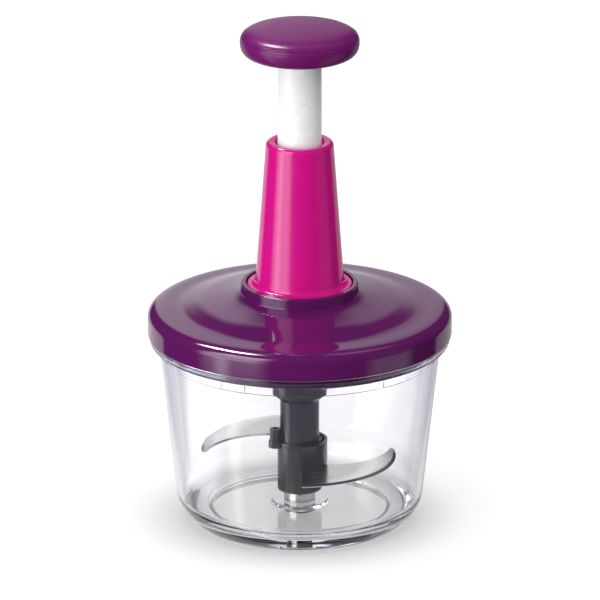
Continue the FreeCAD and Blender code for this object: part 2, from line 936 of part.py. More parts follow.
def drive_coupling():
    """Hexagonal dog below the cover, carrying a toothed clutch cup above it."""
    dog_top = cover_level - coupling_relief
    dog_bottom = cover_level - coupling_length
    body = turned([
        (0, dog_top),
        (coupling_journal_radius, dog_top, fine_round),
        (coupling_journal_radius, clutch_bottom),
        (clutch_radius, clutch_bottom, fine_round),
        (clutch_radius, clutch_top),
        (0, clutch_top),
    ])
    nose = turned([
        (0, dog_bottom),
        (coupling_flats / 2 - coupling_lead_width, dog_bottom),
        (coupling_flats / 2 + 2 * coupling_lead_width, dog_bottom + coupling_lead_depth),
        (coupling_flats / 2 + 2 * coupling_lead_width, dog_top),
        (0, dog_top),
    ])
    dog = hexagon(coupling_flats, dog_bottom, dog_top).common(nose)
    bore_top = clutch_bottom + clutch_wall
    bore_bottom = bore_top - spindle_tail_length - coupling_bore_relief
    bore = disc(spindle_tail_radius + guide_fit, bore_bottom, bore_top)
    cup = saw_teeth(clutch_radius - clutch_wall, bore_top, clutch_top)
    return body.fuse(dog).cut(bore).cut(cup)


def saw_teeth(root_radius, bottom, top):
    """Space inside the clutch cup, with one-way teeth left standing round it."""
    step = 360 / clutch_teeth
    corners = []
    for index in range(clutch_teeth):
        corners.append(polar(root_radius, index * step, bottom))
        corners.append(polar(root_radius - clutch_tooth_depth, (index + 1) * step, bottom))
    face = Part.Face(Part.makePolygon(corners + corners[:1]))
    return face.extrude(V(0, 0, top - bottom))


def clutch_rotor():
    return ring(rotor_radius, spindle_tail_radius,
                clutch_bottom + clutch_wall + running_gap, spindle_flange_bottom)


def clutch_pawls():
    """Two springy arms between the rotor and the teeth."""
    root = clutch_radius - clutch_wall
    bottom = clutch_bottom + clutch_wall + running_gap
    corners = [
        polar(root - pawl_gap, pawl_tip_angle, bottom),
        polar(root - clutch_tooth_depth, pawl_tip_angle, bottom),
        polar(rotor_radius, pawl_root_start, bottom),
        polar(rotor_radius, pawl_root_end, bottom),
        polar(root - clutch_tooth_depth - pawl_thickness, pawl_bend_angle, bottom),
    ]
    pawl = Part.Face(Part.makePolygon(corners + corners[:1]))
    pawl = pawl.extrude(V(0, 0, spindle_flange_bottom - running_gap - bottom))
    pawl = pawl.cut(disc(rotor_radius, bottom, spindle_flange_bottom))
    return group([pawl, spun(pawl, 180)])


def parts():
    return {
        "bowl": bowl(),
        "pivot_pin": pivot_pin(),
        "blade_shaft": blade_shaft(),
        "lower_bush": lower_bush(),
        "upper_bush": upper_bush(),
        "blade_hub": blade_hub(),
        "lower_blade": lower_blade(),
        "upper_blade": upper_blade(),
        "lid": lid(),
        "drive_tower": drive_tower(),
        "tube_guide": tube_guide(),
        "tower_screws": tower_screws(),
        "clutch_housing": clutch_housing(),
        "cover_plate": cover_plate(),
        "cover_screws": cover_screws(),
        "plunger_tube": plunger_tube(),
        "stop_washer": stop_washer(),
        "drive_nut": drive_nut(),
        "knob_base": knob_base(),
        "knob_cap": knob_cap(),
        "knob_screw": knob_screw(),
        "spindle": spindle(),
        "thrust_washer": thrust_washer(),
        "spring_seat": spring_seat(),
        "return_spring": return_spring(),
        "drive_coupling": drive_coupling(),
        "clutch_rotor": clutch_rotor(),
        "clutch_pawls": clutch_pawls(),
    }


os.makedirs("parts", exist_ok=True)
for name, shape in parts().items():
    print(name, "solids", len(shape.Solids), "volume", round(shape.Volume), "valid", shape.isValid())
    shape.exportStep("parts/" + name + ".step")
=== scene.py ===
import math

import bmesh
import bpy
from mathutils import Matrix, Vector
from mathutils.geometry import interpolate_bezier


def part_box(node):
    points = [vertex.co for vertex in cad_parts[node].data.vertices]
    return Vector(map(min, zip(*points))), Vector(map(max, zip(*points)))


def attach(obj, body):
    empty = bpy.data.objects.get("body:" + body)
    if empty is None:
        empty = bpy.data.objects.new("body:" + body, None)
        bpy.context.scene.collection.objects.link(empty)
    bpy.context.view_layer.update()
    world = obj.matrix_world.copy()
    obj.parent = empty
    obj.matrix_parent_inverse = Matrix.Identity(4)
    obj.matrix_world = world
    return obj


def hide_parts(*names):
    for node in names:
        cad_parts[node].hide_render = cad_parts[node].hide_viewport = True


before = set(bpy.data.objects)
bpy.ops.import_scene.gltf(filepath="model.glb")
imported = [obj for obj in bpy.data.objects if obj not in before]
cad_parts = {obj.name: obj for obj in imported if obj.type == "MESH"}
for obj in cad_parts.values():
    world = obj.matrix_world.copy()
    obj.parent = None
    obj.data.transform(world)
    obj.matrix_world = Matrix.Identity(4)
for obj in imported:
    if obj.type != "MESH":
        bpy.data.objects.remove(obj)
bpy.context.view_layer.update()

MM = 0.001
WHITE = (1.0, 1.0, 1.0, 1.0)


# Node building

def feed(tree, made, values):
    """Fills a node's inputs by name, or by number as in i2, and links what is itself a socket."""
    for name, value in values.items():
        socket = made.inputs[int(name[1:]) if name[1:].isdigit() else name.replace("_", " ")]
        if isinstance(value, bpy.types.NodeSocket):
            tree.links.new(value, socket)
        else:
            socket.default_value = value


def put(tree, kind, settings=None, **values):
    """Adds a node with its settings and inputs."""
    made = tree.nodes.new("ShaderNode" + kind)
    for name, value in (settings or {}).items():
        setattr(made, name, value)
    feed(tree, made, values)
    return made


def maths(tree, operation, first, second=0.0):
    return put(tree, "Math", {"operation": operation}, i0=first, i1=second).outputs[0]


def total_of(tree, *parts):
    total = parts[0]
    for part in parts[1:]:
        total = maths(tree, "ADD", total, part)
    return total


def product_of(tree, *parts):
    total = parts[0]
    for part in parts[1:]:
        total = maths(tree, "MULTIPLY", total, part)
    return total


def mix(tree, share, first, second):
    return put(tree, "Mix", {"data_type": "FLOAT"}, i0=share, i2=first, i3=second).outputs[0]


def span(tree, value, low, high, to_low=0.0, to_high=1.0, smooth=False):
    """Carries a value from one range into another, and holds it at the ends."""
    kind = "SMOOTHSTEP" if smooth else "LINEAR"
    made = put(tree, "MapRange", {"interpolation_type": kind}, i0=value, i1=low, i2=high,
               i3=to_low, i4=to_high)
    return made.outputs[0]


def noise(tree, vector, scale, detail=2.0, roughness=0.5):
    made = put(tree, "TexNoise", Vector=vector, Scale=scale, Detail=detail, Roughness=roughness)
    return made.outputs[0]


def window(tree, value, low, high, soft):
    """One between two limits, falling softly to zero outside them."""
    opened = span(tree, value, low - soft, low + soft, smooth=True)
    closed = span(tree, value, high - soft, high + soft, 1.0, 0.0, smooth=True)
    return maths(tree, "MULTIPLY", opened, closed)


def tint(tree, factor, dark, light):
    mixed = put(tree, "Mix", {"data_type": "RGBA"}, i0=factor, i6=(*dark, 1.0), i7=(*light, 1.0))
    return mixed.outputs[2]


def dimmed(tree, color, share):
    mixed = put(tree, "Mix", {"data_type": "RGBA", "blend_type": "MULTIPLY"}, i0=1.0, i6=color,
                i7=share)
    return mixed.outputs[2]


def bumped(tree, height, strength, distance):
    return put(tree, "Bump", Height=height, Strength=strength, Distance=distance).outputs[0]


# Surface effects that several finishes share

WAVE_SCALE = 38.0
GRAIN_SCALE = 2600.0
GRAIN_DETAIL = 3.0
SHADE_SCALE = 16.0
HAZE_SCALE = 55.0
HAZE_DETAIL = 4.0
HAZE_ROUGHNESS = 0.62
HAZE_RANGE = (0.35, 0.75)
# Each run of scratches has its turn and its scale along the three axes
SCRATCH_RUNS = ((0.4, (30, 900, 300)), (1.7, (1100, 40, 350)), (2.6, (50, 700, 500)))
SCRATCH_TILT = (0.3, 0.2)
SCRATCH_CUT = (0.70, 0.76)
LINE_PITCH = 9000.0
LINE_SWEEP = 5.0


def new_group(name, inputs, outputs):
    """Shader node group with float or vector inputs and outputs, and its two end nodes."""
    tree = bpy.data.node_groups.new(name, "ShaderNodeTree")
    for label, value in inputs.items():
        kind = "NodeSocketVector" if value is None else "NodeSocketFloat"
        socket = tree.interface.new_socket(label, in_out="INPUT", socket_type=kind)
        if value is not None:
            socket.default_value = value
    for label in outputs:
        tree.interface.new_socket(label, in_out="OUTPUT", socket_type="NodeSocketFloat")
    return tree, tree.nodes.new("NodeGroupInput"), tree.nodes.new("NodeGroupOutput")


def moulded_surface():
    """Gentle waves and fine grain of a moulded face, and the soft clouding of its gloss."""
    tree, given, out = new_group(
        "moulded_surface",
        {"Vector": None, "Wave": 1.0, "Grain": 1.0, "Grain Scale": GRAIN_SCALE},
        ("Height", "Haze", "Shade"))
    where = given.outputs["Vector"]
    wave = maths(tree, "MULTIPLY", noise(tree, where, WAVE_SCALE, 1.0), given.outputs["Wave"])
    grain = maths(tree, "MULTIPLY", noise(tree, where, given.outputs["Grain Scale"], GRAIN_DETAIL),
                  given.outputs["Grain"])
    clouds = noise(tree, where, HAZE_SCALE, HAZE_DETAIL, HAZE_ROUGHNESS)
    feed(tree, out, {"Height": maths(tree, "ADD", wave, grain),
                     "Haze": span(tree, clouds, *HAZE_RANGE, smooth=True),
                     "Shade": noise(tree, where, SHADE_SCALE)})
    return tree


def fine_scratches():
    """Sparse hair scratches in three directions, as wiping leaves them."""
    tree, given, out = new_group(
        "fine_scratches", {"Vector": None, "Density": 0.5}, ("Scratch",))
    total = None
    for turn, scale in SCRATCH_RUNS:
        placed = put(tree, "Mapping", Vector=given.outputs["Vector"],
                     Rotation=(*SCRATCH_TILT, turn), Scale=scale)
        cut = span(tree, noise(tree, placed.outputs[0], 1.0, 1.0), *SCRATCH_CUT)
        total = cut if total is None else maths(tree, "MAXIMUM", total, cut)
    feed(tree, out, {"Scratch": maths(tree, "MULTIPLY", total, given.outputs["Density"])})
    return tree


def ground_rings():
    """Fine lines that run round a centre, as grinding on a wheel or turning leaves them."""
    tree, given, out = new_group(
        "ground_rings",
        {"Vector": None, "Centre X": 0.0, "Centre Y": 0.0, "Pitch": LINE_PITCH},
        ("Line", "Radius"))
    parts = put(tree, "SeparateXYZ", Vector=given.outputs["Vector"])
    along = maths(tree, "SUBTRACT", parts.outputs[0], given.outputs["Centre X"])
    across = maths(tree, "SUBTRACT", parts.outputs[1], given.outputs["Centre Y"])
    radius = maths(tree, "SQRT", maths(tree, "ADD", maths(tree, "MULTIPLY", along, along),
                                       maths(tree, "MULTIPLY", across, across)))
    angle = maths(tree, "ARCTAN2", across, along)
    ridge = maths(tree, "MULTIPLY", radius, given.outputs["Pitch"])
    sweep = maths(tree, "MULTIPLY", angle, LINE_SWEEP)
    level = maths(tree, "MULTIPLY", parts.outputs[2], given.outputs["Pitch"])
    spot = put(tree, "CombineXYZ", i0=ridge, i1=sweep, i2=level)
    feed(tree, out, {"Line": noise(tree, spot.outputs[0], 1.0), "Radius": radius})
    return tree


MOULDED, SCRATCHED, GROUND = moulded_surface(), fine_scratches(), ground_rings()


def use_group(tree, group, **values):
    """Adds a group's node and gives its outputs."""
    return put(tree, "Group", {"node_tree": group}, **values).outputs


# Finishes

SCRATCH_ROUGHNESS = 0.12
MOULDED_BUMP = (0.35, 0.12 * MM)

LINE_RANGE = (0.3, 0.7)
LINE_SHADE = 0.94
LINE_DEPTH = 0.02 * MM
STEEL_SCRATCHES = 0.5
STEEL_SCRATCH_ROUGHNESS = 0.1

BLADE_CENTRE = 14.5 * MM
BLADE_PITCH = 7000.0
BEVEL_RADII = (49.5 * MM, 49.8 * MM)
BEVEL_ROUGHNESS = 0.11
# Painted highlight band on the blades between these radii, and painted shade from the root out to
# the darker tip
PAINTED_HIGHLIGHT_FROM = 34 * MM
PAINTED_HIGHLIGHT_TO = 43 * MM
PAINTED_HIGHLIGHT_SOFT = 5 * MM
PAINTED_HIGHLIGHT_LIFT = 0.3
TIP_RADIUS = 52 * MM
ROOT_PAINTED_SHADE = 0.75
TIP_PAINTED_SHADE = 0.4

PIN_PITCH = 5000.0
# Painted shade on the pin below these levels, where it sits in the bowl's floor
PIN_PAINTED_SHADE_LEVELS = (9 * MM, 12 * MM)
PIN_FOOT_PAINTED_SHADE = 0.3

BOWL_ROUGHNESS = 0.02
BOWL_SCRATCHES = 0.4
BOWL_BUMP = (0.3, 0.1 * MM)
BOWL_IOR = 1.57
BOWL_FACE = (0.985, 0.984, 0.988)
# Painted shade: the bowl's colour where its walls are seen edge-on, and over which facing it fades
# in
BOWL_EDGE_PAINTED_SHADE = (0.70, 0.698, 0.712)
BOWL_PAINTED_SHADE_FACING = (0.4, 0.75)
SHADOW_FACE = (0.93, 0.925, 0.94)
SHADOW_EDGE = (0.55, 0.54, 0.58)
BOWL_DEPTH = (0.78, 0.755, 0.9, 1.0)
BOWL_DENSITY = 8.0


def new_material(name, color, **values):
    """Material with its Principled shader, and the coordinates its patterns read."""
    material = bpy.data.materials.new(name)
    material.use_nodes = True
    tree = material.node_tree
    shader = tree.nodes["Principled BSDF"]
    shader.inputs["Base Color"].default_value = (*color, 1.0)
    feed(tree, shader, values)
    return material, tree, shader, put(tree, "TexCoord").outputs["Object"]


def shade_base(tree, shader, share):
    """Multiplies the base colour by a share that changes over the piece."""
    color = shader.inputs["Base Color"].links[0].from_socket
    tree.links.new(dimmed(tree, color, share), shader.inputs["Base Color"])


def plastic(name, dark, light, gloss, haze, wave=1.0, grain=0.0, grain_scale=GRAIN_SCALE,
            scratches=0.3, **values):
    """Moulded plastic: two close shades, a clouded gloss, gentle waves and hair scratches."""
    material, tree, shader, where = new_material(name, light, **values)
    face = use_group(tree, MOULDED, Vector=where, Wave=wave, Grain=grain, Grain_Scale=grain_scale)
    marks = use_group(tree, SCRATCHED, Vector=where, Density=scratches)
    tree.links.new(tint(tree, face["Shade"], dark, light), shader.inputs["Base Color"])
    soft = span(tree, face["Haze"], 0.0, 1.0, gloss, gloss + haze)
    rubbed = maths(tree, "MULTIPLY", marks["Scratch"], SCRATCH_ROUGHNESS)
    tree.links.new(maths(tree, "ADD", soft, rubbed), shader.inputs["Roughness"])
    tree.links.new(bumped(tree, face["Height"], *MOULDED_BUMP), shader.inputs["Normal"])
    return material


def steel(name, color, gloss, spread, centre=(0.0, 0.0), pitch=LINE_PITCH, depth=0.3):
    """Steel with fine lines round a centre, and the coordinates that they read."""
    material, tree, shader, where = new_material(name, color, Metallic=1.0)
    lines = use_group(tree, GROUND, Vector=where, Centre_X=centre[0], Centre_Y=centre[1],
                      Pitch=pitch)
    marks = use_group(tree, SCRATCHED, Vector=where, Density=STEEL_SCRATCHES)
    soft = span(tree, lines["Line"], *LINE_RANGE, gloss, gloss + spread)
    rubbed = maths(tree, "MULTIPLY", marks["Scratch"], STEEL_SCRATCH_ROUGHNESS)
    tree.links.new(maths(tree, "ADD", soft, rubbed), shader.inputs["Roughness"])
    shade = tuple(LINE_SHADE * share for share in color)
    tree.links.new(tint(tree, lines["Line"], shade, color), shader.inputs["Base Color"])
    tree.links.new(bumped(tree, lines["Line"], depth, LINE_DEPTH), shader.inputs["Normal"])
    return material, tree, shader, where, lines["Radius"]


def blade_steel(name, side):
    """Blade: lines ground along its sweep, painted shade toward the root and more toward the tip,
    a painted highlight band across the middle, and a polished cutting edge.
    """
    material, tree, shader, where, radius = steel(
        name, (0.90, 0.895, 0.89), gloss=0.22, spread=0.04, centre=(0.0, side * BLADE_CENTRE),
        pitch=BLADE_PITCH, depth=0.12)
    rough = shader.inputs["Roughness"].links[0].from_socket
    edge = span(tree, radius, *BEVEL_RADII)
    tree.links.new(mix(tree, edge, rough, BEVEL_ROUGHNESS), shader.inputs["Roughness"])
    reach = use_group(tree, GROUND, Vector=where)["Radius"]
    # Painted shade: the base colour darkens from the root out to the tip, and a painted highlight
    # lifts a band in the middle
    shade = span(tree, reach, PAINTED_HIGHLIGHT_TO, TIP_RADIUS, ROOT_PAINTED_SHADE, TIP_PAINTED_SHADE, smooth=True)
    painted_highlight = window(tree, reach, PAINTED_HIGHLIGHT_FROM, PAINTED_HIGHLIGHT_TO, PAINTED_HIGHLIGHT_SOFT)
    highlight_lift = maths(tree, "MULTIPLY", painted_highlight, PAINTED_HIGHLIGHT_LIFT)
    shade_base(tree, shader, maths(tree, "ADD", shade, highlight_lift))
    return material


def pin_steel():
    """Polished pin, with painted shade darkening it where it is moulded into the floor of the
    bowl.
    """
    material, tree, shader, where, _ = steel(
        "polished_pin_steel", (0.74, 0.74, 0.745), gloss=0.07, spread=0.06, pitch=PIN_PITCH)
    level = put(tree, "SeparateXYZ", Vector=where).outputs[2]
    # Painted shade: the base colour darkens toward the pin's foot
    shade_base(tree, shader, span(tree, level, *PIN_PAINTED_SHADE_LEVELS, PIN_FOOT_PAINTED_SHADE, 1.0))
    return material


def clear_plastic():
    """Water-clear plastic with a violet cast in its depth, and painted shade darkening it where
    its walls are seen edge-on. Lamps shine through its walls.
    """
    material, tree, shader, where = new_material(
        "clear_bowl_plastic", BOWL_FACE, IOR=BOWL_IOR, Transmission_Weight=1.0)
    face = use_group(tree, MOULDED, Vector=where, Wave=1.0, Grain=0.0)
    marks = use_group(tree, SCRATCHED, Vector=where, Density=BOWL_SCRATCHES)
    worn = maths(tree, "ADD", face["Haze"], marks["Scratch"])
    tree.links.new(maths(tree, "MULTIPLY", worn, BOWL_ROUGHNESS), shader.inputs["Roughness"])
    tree.links.new(bumped(tree, face["Height"], *BOWL_BUMP), shader.inputs["Normal"])
    facing = put(tree, "LayerWeight", Blend=0.5).outputs["Facing"]
    # Painted shade: the colour darkens where the walls turn edge-on
    edge = span(tree, facing, *BOWL_PAINTED_SHADE_FACING, smooth=True)
    tree.links.new(tint(tree, edge, BOWL_FACE, BOWL_EDGE_PAINTED_SHADE), shader.inputs["Base Color"])
    passed = put(tree, "BsdfTransparent", Color=tint(tree, facing, SHADOW_FACE, SHADOW_EDGE))
    shadow = put(tree, "LightPath").outputs["Is Shadow Ray"]
    both = put(tree, "MixShader", i0=shadow, i1=shader.outputs[0], i2=passed.outputs[0])
    depth = put(tree, "VolumeAbsorption", Color=BOWL_DEPTH, Density=BOWL_DENSITY)
    feed(tree, tree.nodes["Material Output"],
         {"Surface": both.outputs[0], "Volume": depth.outputs[0]})
    return material


PURPLE = plastic("deep_purple_gloss", dark=(0.086, 0.0065, 0.082), light=(0.096, 0.0075, 0.091),
                 gloss=0.05, haze=0.03, wave=0.6, Coat_Weight=0.15, Coat_Roughness=0.03)
KNOB = plastic("knob_purple_satin", dark=(0.13, 0.005, 0.106), light=(0.142, 0.0058, 0.116),
               gloss=0.5, haze=0.05, wave=0.25, scratches=0.1, Specular_IOR_Level=0.05,
               Coat_Weight=0.4, Coat_Roughness=0.2)
MAGENTA = plastic("magenta_gloss", dark=(0.56, 0.0038, 0.205), light=(0.585, 0.0048, 0.22),
                  gloss=0.12, haze=0.04)
WHITE_TUBE = plastic("white_tube", dark=(0.88, 0.88, 0.882), light=(0.9, 0.9, 0.9),
                     gloss=0.25, haze=0.06, Subsurface_Weight=0.3, Subsurface_Scale=4 * MM)
GREY = plastic("dark_grey_satin", dark=(0.015, 0.0155, 0.017), light=(0.018, 0.0185, 0.021),
               gloss=0.21, haze=0.04, grain=0.03, grain_scale=2200.0)
ACETAL = plastic("natural_acetal", dark=(0.72, 0.72, 0.68), light=(0.78, 0.78, 0.74),
                 gloss=0.38, haze=0.08, grain=0.6)
RUBBER = plastic("matt_black_rubber", dark=(0.012, 0.012, 0.012), light=(0.02, 0.02, 0.02),
                 gloss=0.62, haze=0.15, grain=2.0, grain_scale=1500.0)
SPRING_STEEL = steel("drawn_spring_steel", (0.55, 0.55, 0.57), gloss=0.25, spread=0.1)[0]
SCREW_STEEL = steel("plated_screw_steel", (0.62, 0.62, 0.63), gloss=0.22, spread=0.1)[0]

FINISHES = {
    "bowl": clear_plastic(),
    "pivot_pin": pin_steel(),
    "blade_shaft": GREY,
    "lower_bush": ACETAL,
    "upper_bush": ACETAL,
    "blade_hub": GREY,
    "lower_blade": blade_steel("lower_blade_steel", 1),
    "upper_blade": blade_steel("upper_blade_steel", -1),
    "lid": PURPLE,
    "drive_tower": MAGENTA,
    "tube_guide": ACETAL,
    "tower_screws": SCREW_STEEL,
    "clutch_housing": GREY,
    "cover_plate": PURPLE,
    "cover_screws": SCREW_STEEL,
    "thrust_washer": ACETAL,
    "plunger_tube": WHITE_TUBE,
    "stop_washer": RUBBER,
    "drive_nut": ACETAL,
    "knob_base": KNOB,
    "knob_cap": KNOB,
    "knob_screw": SCREW_STEEL,
    "return_spring": SPRING_STEEL,
    "spindle": ACETAL,
    "spring_seat": ACETAL,
    "drive_coupling": GREY,
    "clutch_rotor": ACETAL,
    "clutch_pawls": SPRING_STEEL,
}
for node_name, finish in FINISHES.items():
    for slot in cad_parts[node_name].material_slots:
        slot.material = finish


# Turned pieces, with radii and levels in millimetres

LATHE_STEPS = 192
SHARP_ANGLE = math.radians(30)


def lowest(node):
    return round(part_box(node)[0][2] / MM, 2)


def highest(node):
    return round(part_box(node)[1][2] / MM, 2)


def soft_corner(start, corner, end, fullness, count=14):
    """Points of a curve from start to end that leans into a corner."""
    start, corner, end = (Vector((*spot, 0.0)) for spot in (start, corner, end))
    curve = interpolate_bezier(start, start.lerp(corner, fullness), end.lerp(corner, fullness),
                               end, count)
    return [(spot.x, spot.y) for spot in curve]


def lathe(name, outline, finish, body):
    """Turns a closed outline of radii and levels round the common axis."""
    shape = bmesh.new()
    corners = [shape.verts.new((radius * MM, 0.0, level * MM)) for radius, level in outline]
    edges = [shape.edges.new(pair) for pair in zip(corners, corners[1:] + corners[:1])]
    bmesh.ops.spin(shape, geom=corners + edges, cent=(0, 0, 0), axis=(0, 0, 1),
                   angle=2 * math.pi, steps=LATHE_STEPS, use_merge=True)
    bmesh.ops.remove_doubles(shape, verts=shape.verts, dist=1e-6)
    bmesh.ops.recalc_face_normals(shape, faces=shape.faces)
    mesh = bpy.data.meshes.new(name)
    shape.to_mesh(mesh)
    shape.free()
    mesh.shade_smooth()
    mesh.set_sharp_from_angle(angle=SHARP_ANGLE)
    mesh.materials.append(finish)
    piece = bpy.data.objects.new(name, mesh)
    bpy.context.scene.collection.objects.link(piece)
    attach(piece, body)
    return piece


# Knob, with levels above the underside of the solid one

KNOB_FOOT = lowest("knob_base")
KNOB_RADIUS = 31.2
KNOB_BOTTOM = KNOB_FOOT + 0.1
KNOB_WAIST = KNOB_FOOT + 7.5
KNOB_SEAM = KNOB_FOOT + 10.8
KNOB_TOP = KNOB_FOOT + 15.8
KNOB_UNDER_ROUND = 8.0
KNOB_UNDER_FULLNESS = 0.7
KNOB_RIM = 16.0
KNOB_RIM_POINTS = 30
KNOB_FULLNESS = 0.74
KNOB_DOME_RADIUS = 170.0
KNOB_DOME_STEPS = 8
SEAM_DEPTH = 0.3
SEAM_HALF_WIDTH = 0.18
SEAM_CLEAR = 0.2
SOCKET_RADIUS = 11.5
SOCKET_TOP = highest("plunger_tube")
SCREW_HOLE_RADIUS = 2.2
POCKET_RADIUS = 21.0
POCKET_FLOOR = KNOB_FOOT + 5.9
SPIGOT_RADIUS = 20.9
SPIGOT_INNER_RADIUS = 18.9
SPIGOT_BOTTOM = lowest("knob_cap")
CAP_CEILING = KNOB_FOOT + 12.2


def knob_outlines():
    """Outlines of the knob's two halves: a shallow dome, a full rim and a rounded underside."""
    dome_radius = KNOB_RADIUS - KNOB_RIM
    radii = [dome_radius * step / KNOB_DOME_STEPS for step in range(KNOB_DOME_STEPS, -1, -1)]
    dome = [(radius, KNOB_TOP - radius ** 2 / 2 / KNOB_DOME_RADIUS) for radius in radii]
    rim_height = dome[0][1] - dome_radius / KNOB_DOME_RADIUS * KNOB_RIM
    rim = soft_corner((KNOB_RADIUS, KNOB_WAIST), (KNOB_RADIUS, rim_height), dome[0],
                      KNOB_FULLNESS, KNOB_RIM_POINTS)
    under = soft_corner((KNOB_RADIUS - KNOB_UNDER_ROUND, KNOB_BOTTOM), (KNOB_RADIUS, KNOB_BOTTOM),
                        (KNOB_RADIUS, KNOB_WAIST), KNOB_UNDER_FULLNESS)
    low = [spot for spot in rim if spot[1] < KNOB_SEAM - SEAM_CLEAR]
    high = [spot for spot in rim if spot[1] > KNOB_SEAM + SEAM_CLEAR]
    lip = (low[-1][0] + high[0][0]) / 2
    base = under + low[1:] + [
        (lip, KNOB_SEAM - SEAM_HALF_WIDTH), (lip - SEAM_DEPTH, KNOB_SEAM),
        (POCKET_RADIUS, KNOB_SEAM), (POCKET_RADIUS, POCKET_FLOOR),
        (SCREW_HOLE_RADIUS, POCKET_FLOOR), (SCREW_HOLE_RADIUS, SOCKET_TOP),
        (SOCKET_RADIUS, SOCKET_TOP), (SOCKET_RADIUS, KNOB_BOTTOM)]
    cap = [(lip - SEAM_DEPTH, KNOB_SEAM), (lip, KNOB_SEAM + SEAM_HALF_WIDTH)] + high + dome[1:] + [
        (0.0, CAP_CEILING), (SPIGOT_INNER_RADIUS, CAP_CEILING),
        (SPIGOT_INNER_RADIUS, SPIGOT_BOTTOM), (SPIGOT_RADIUS, SPIGOT_BOTTOM),
        (SPIGOT_RADIUS, KNOB_SEAM)]
    return base, cap


base_outline, cap_outline = knob_outlines()
knob_underside = lathe("knob_underside", base_outline, KNOB, "plunger_unit")
knob_crown = lathe("knob_crown", cap_outline, KNOB, "plunger_unit")
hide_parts("knob_base")
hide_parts("knob_cap")


# Crown of the lid, with levels above the edge of its skirt

# The edge is level with the top of the bowl
LID_EDGE = highest("bowl")
SKIRT_RADIUS = round(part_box("lid")[1][0] / MM, 2) + 0.07
SKIRT_FOOT = LID_EDGE + 0.9
SKIRT_HEAD = LID_EDGE + 8.8
SHELF_RADIUS = 70
SHELF_LEVEL = LID_EDGE + 14.35
SHOULDER_FULLNESS = 0.68
SHOULDER_POINTS = 20
COLLAR_FOOT_RADIUS = 31
# Slope of the crown at some radii, from the collar's foot to the shelf
CROWN_SLOPES = ((COLLAR_FOOT_RADIUS, 0.30), (36, 0.22), (48, 0.17), (54, 0.26), (61, 0.26),
                (66, 0.08), (SHELF_RADIUS, 0.055))
# Points of the skin's inner side, inside the solid lid
SKIN_INSIDE = ((79.1, 0.9), (79.1, 8.5), (77.5, 11.0), (74.0, 13.0), (70.0, 13.8), (50.0, 16.9),
               (31.5, 21.2), (30.85, 21.4))


def crown_slope(radius):
    """Slope in the millimetre inside a radius, between the two given slopes beside it."""
    for (inner, steep), (outer, mild) in zip(CROWN_SLOPES, CROWN_SLOPES[1:]):
        if inner < radius <= outer:
            return steep + (mild - steep) * (radius - 0.5 - inner) / (outer - inner)


def crown_outline():
    """Thin skin of the lid's top: a gentle crown, a soft step, a level shelf and the shoulder."""
    level = SHELF_LEVEL
    line = [(SHELF_RADIUS, level)]
    for radius in range(SHELF_RADIUS, COLLAR_FOOT_RADIUS, -1):
        level += crown_slope(radius)
        line.insert(0, (radius - 1, level))
    shoulder = soft_corner((SHELF_RADIUS, SHELF_LEVEL), (SKIRT_RADIUS, SHELF_LEVEL - 0.5),
                           (SKIRT_RADIUS, SKIRT_HEAD), SHOULDER_FULLNESS, SHOULDER_POINTS)
    root = [(COLLAR_FOOT_RADIUS - 0.15, level + 0.6), (COLLAR_FOOT_RADIUS, level + 0.25)]
    inside = [(radius, LID_EDGE + height) for radius, height in SKIN_INSIDE]
    return root + line + shoulder[1:] + [(SKIRT_RADIUS, SKIRT_FOOT)] + inside


lathe("lid_crown", crown_outline(), PURPLE, "lid_unit")


# Floor, with distances from the axis in metres

FLOOR_RADIUS = 4.0
FLOOR_CORNERS = 96
FLOOR_COLOR = (0.6, 0.6, 0.605)
FLOOR_GLOW = 0.66
FLAG_COLOR = (0.30, 0.29, 0.36)
FLAG_BESIDE = (0.072, 0.15)
FLAG_BEFORE = (-0.16, -0.10)
CARD_TURN = (-1.72, -1.1)
CARD_REACH = (0.09, 0.12)
CARD_SOFT = 0.12
CARD = 9.0
# Painted light: the floor glows under the bowl, out to this reach
PAINTED_GLOW_REACH = (0.048, 0.060)
PAINTED_GLOW = 0.5
# Painted contact shadow on the floor round the bowl's foot
PAINTED_SHADOW_REACH = (0.060, 0.092)
PAINTED_SHADOW_SHADE = 0.82


